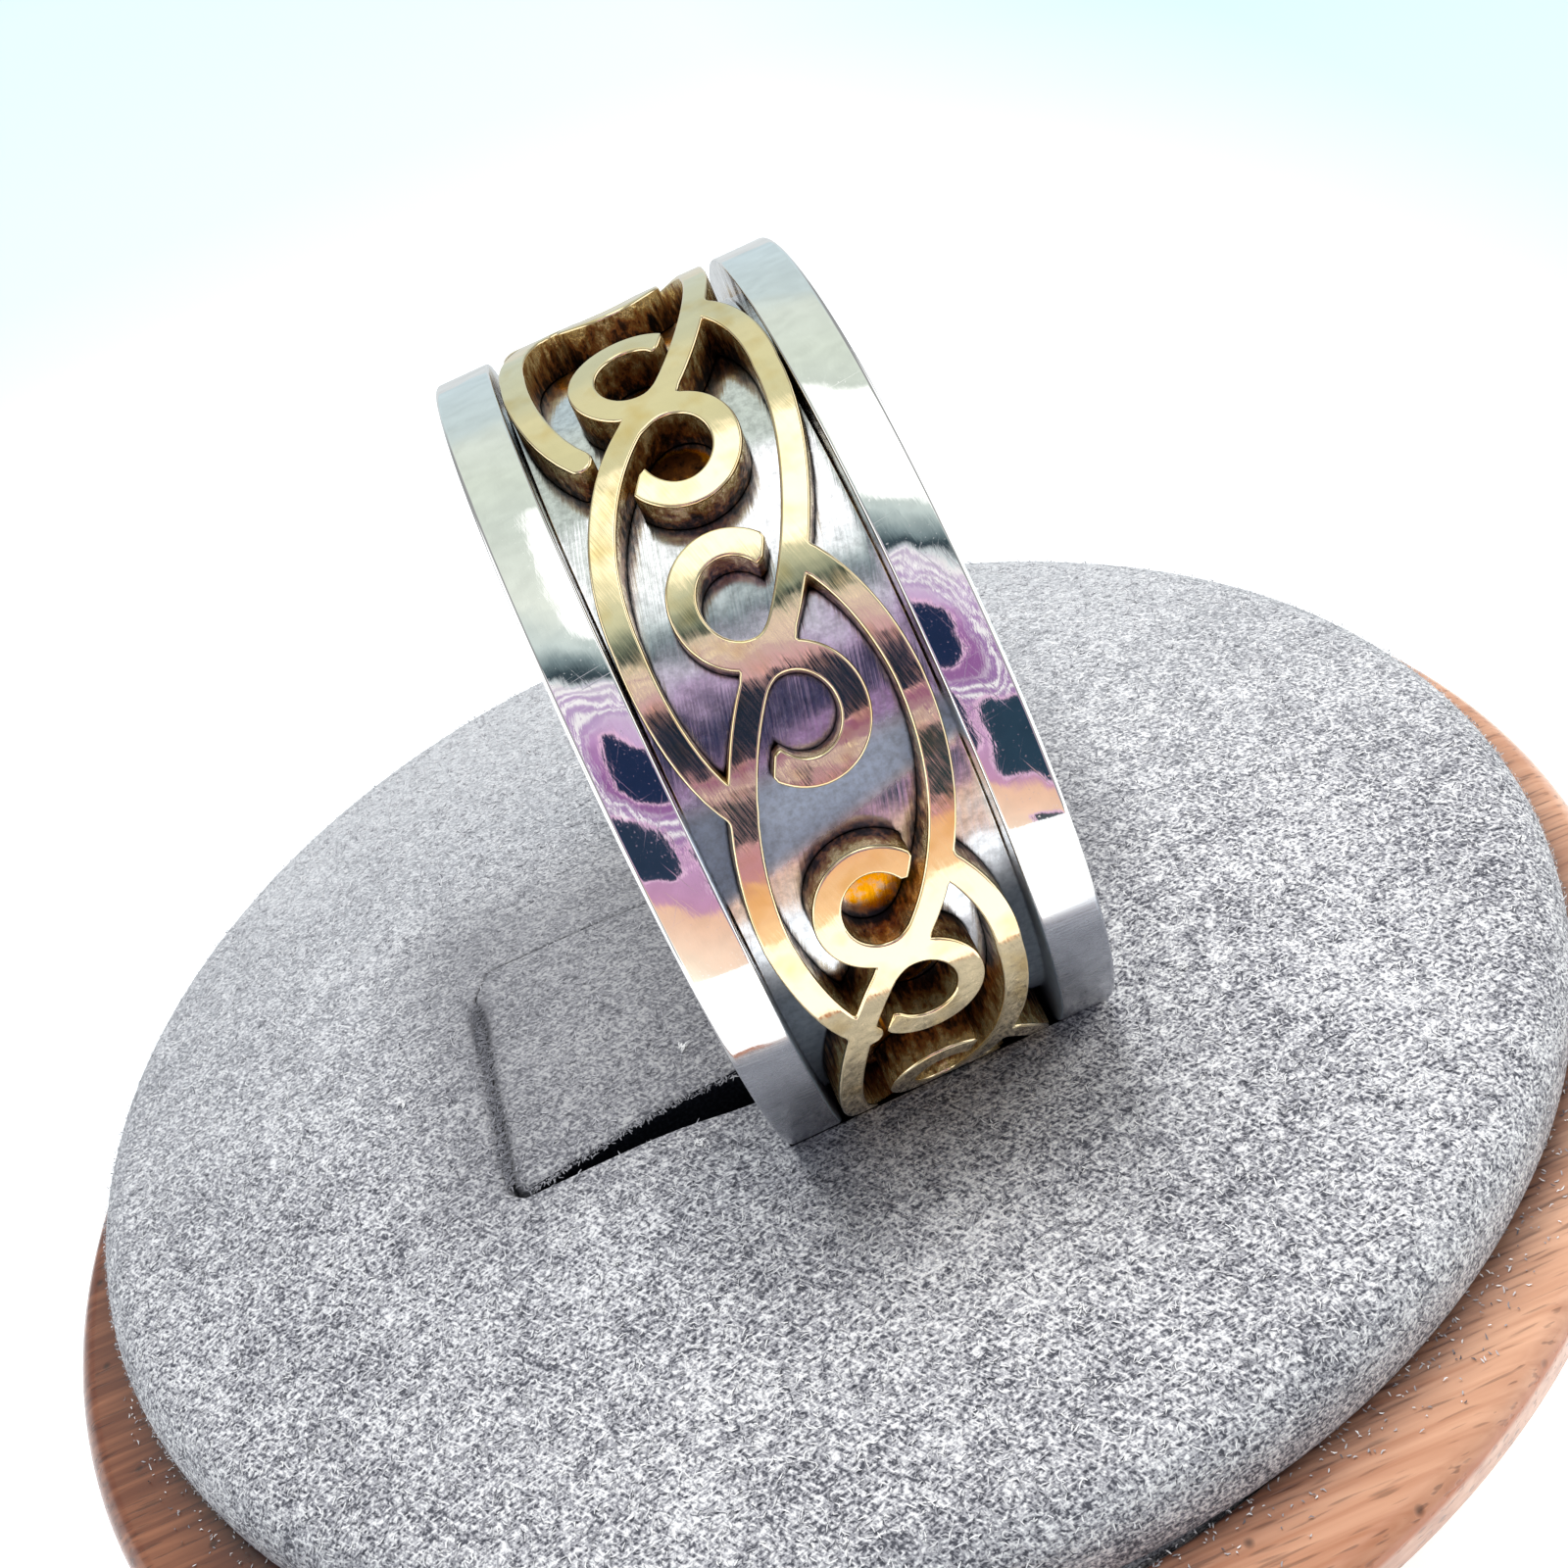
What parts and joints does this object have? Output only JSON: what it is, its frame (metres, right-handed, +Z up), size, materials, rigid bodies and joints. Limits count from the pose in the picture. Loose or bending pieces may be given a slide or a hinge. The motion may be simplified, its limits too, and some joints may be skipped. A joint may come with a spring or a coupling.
{
  "type": "cigar band ring on a display stand",
  "caption": "Wide silver band ring with pierced gold scrollwork between its rims, standing upright in the cut of a felt pad on a turned wooden base.",
  "frame": {"origin": "centre of the wooden base's underside", "axes": "+Z up, +X along the finger hole towards the side that the ring's tilt lifts, +Y away from the pictured side"},
  "size_m": [0.0448, 0.0448, 0.0306],
  "materials": {
    "silver": "polished sterling silver with fine hand scratches",
    "gold": "polished yellow gold with dark patina in the recesses",
    "felt": "grey felt over foam, short mixed fibres",
    "wood": "turned reddish brown hardwood, lacquered"
  },
  "bodies": {
    "root": {"band": "silver", "scroll": "gold", "pad": "felt", "base": "wood"}
  },
  "joints": []
}
